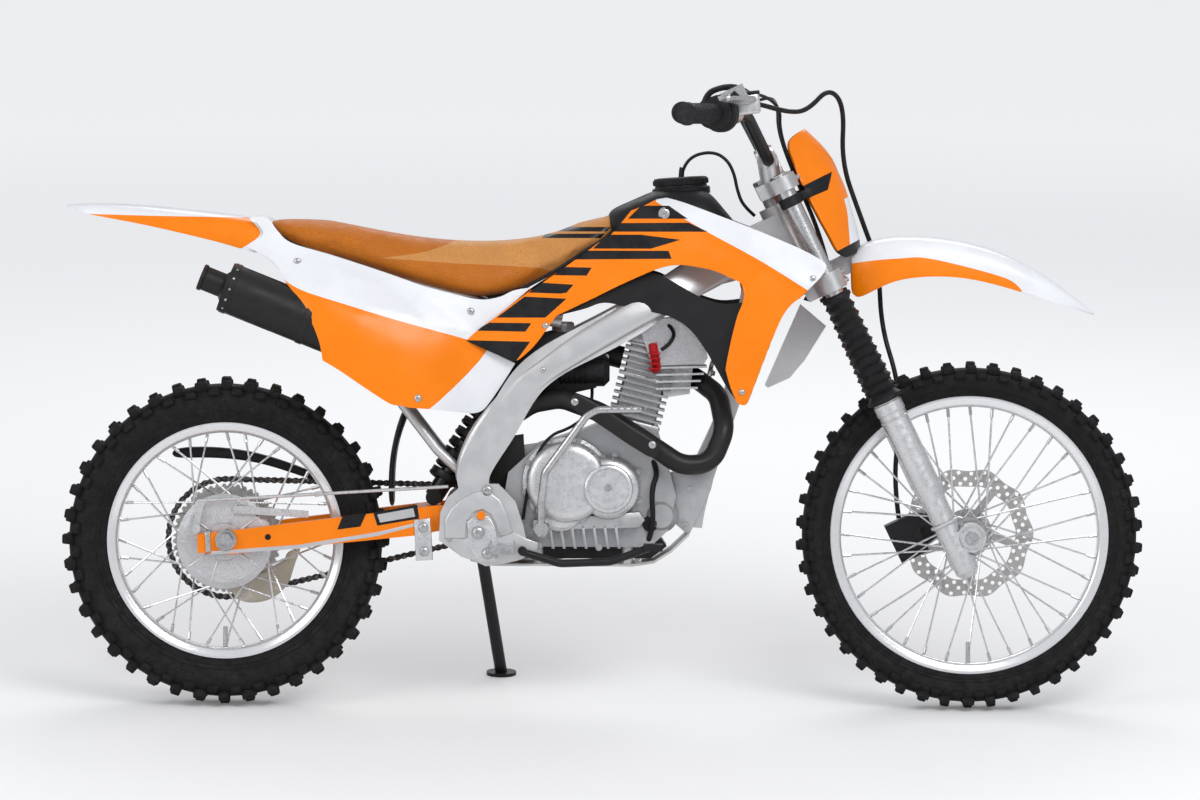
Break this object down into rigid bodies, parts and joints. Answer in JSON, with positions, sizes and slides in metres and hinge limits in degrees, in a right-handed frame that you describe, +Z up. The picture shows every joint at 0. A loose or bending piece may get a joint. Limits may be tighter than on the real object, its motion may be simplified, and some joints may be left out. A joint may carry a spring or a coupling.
{
  "type": "enduro dirt bike",
  "caption": "Small enduro dirt bike with knobbed wire wheels, long fork, air-cooled engine and orange and white covers, leaning on its side stand.",
  "frame": {"origin": "on the ground, below the middle of the parked bike's bounding box", "axes": "+X towards the front wheel, +Y towards the rider's left, +Z up"},
  "size_m": [1.9359, 0.8168, 1.144],
  "materials": {
    "tyre_rubber": "knobbed rubber",
    "rim_alloy": "polished rolled alloy",
    "spoke_steel": "bright wire",
    "cast_alloy": "satin casting",
    "frame_silver": "silver paint",
    "plated_steel": "zinc plated",
    "chain_steel": "oiled steel",
    "black_steel": "satin black paint",
    "black_rubber": "moulded rubber",
    "black_plastic": "grained plastic",
    "orange_plastic": "moulded, smooth",
    "white_plastic": "moulded, smooth",
    "orange_paint": "gloss paint",
    "seat_cover": "grained cover",
    "pale_alloy": "brushed sheet",
    "red_rubber": "moulded"
  },
  "bodies": {
    "root": {"steering_head": "frame_silver", "frame_spar_right": "frame_silver", "side_panel_right": "orange_plastic", "tank_shroud_right": "orange_plastic", "frame_spar_left": "frame_silver", "side_panel_left": "orange_plastic", "tank_shroud_left": "orange_plastic", "footpegs": "plated_steel", "skid_plate": "pale_alloy", "subframe": "frame_silver", "swingarm": "orange_paint", "rear_axle": "plated_steel", "rear_brake_panel": "cast_alloy", "drive_chain": "chain_steel", "crankcase": "cast_alloy", "clutch_cover": "cast_alloy", "generator_cover": "cast_alloy", "cylinder_barrel": "cast_alloy", "cylinder_head": "cast_alloy", "spark_plug_cap": "red_rubber", "carburettor_and_airbox": "black_steel", "rear_shock": "black_steel", "exhaust_pipe": "black_steel", "muffler": "black_steel", "fuel_tank": "black_plastic", "tank_cap": "black_plastic", "seat": "seat_cover", "rear_fender": "white_plastic", "kick_starter": "plated_steel", "brake_pedal": "black_steel", "gear_lever": "black_steel"},
    "steering": {"fork_tubes": "plated_steel", "fork_gaiters": "black_rubber", "fork_leg_right": "cast_alloy", "fork_leg_left": "cast_alloy", "front_axle": "plated_steel", "bottom_clamp": "cast_alloy", "top_clamp": "cast_alloy", "handlebar": "black_steel", "grips": "black_rubber", "throttle_housing": "black_plastic", "brake_lever": "black_steel", "clutch_lever": "black_steel", "front_fender": "white_plastic", "number_plate": "orange_plastic", "brake_hose": "black_rubber", "front_caliper": "black_steel"},
    "front_wheel": {"front_tyre": "tyre_rubber", "front_rim": "rim_alloy", "front_hub": "cast_alloy", "front_spokes": "spoke_steel", "front_brake_disc": "plated_steel"},
    "rear_wheel": {"rear_tyre": "tyre_rubber", "rear_rim": "rim_alloy", "rear_hub": "cast_alloy", "rear_spokes": "spoke_steel", "rear_sprocket": "plated_steel"},
    "side_stand": {"side_stand": "cast_alloy"}
  },
  "joints": [
    {"name": "steering", "type": "hinge", "parent": "root", "child": "steering", "pos_m": [0.33825, -0.03335, 0.81717], "axis": [-0.4384, 0.1251, 0.89], "range_deg": [-40, 40]},
    {"name": "front_wheel_spin", "type": "hinge", "parent": "steering", "child": "front_wheel", "pos_m": [0.657, -0.10462, 0.31006], "axis": [0, 0.9903, -0.1392], "continuous": true},
    {"name": "rear_wheel_spin", "type": "hinge", "parent": "root", "child": "rear_wheel", "pos_m": [-0.675, -0.10712, 0.29224], "axis": [0, 0.9903, -0.1392], "continuous": true},
    {"name": "side_stand", "type": "hinge", "parent": "root", "child": "side_stand", "pos_m": [-0.223, 0.04001, 0.26853], "axis": [0.2341, 0.9254, 0.2981], "range_deg": [0, 100]}
  ]
}
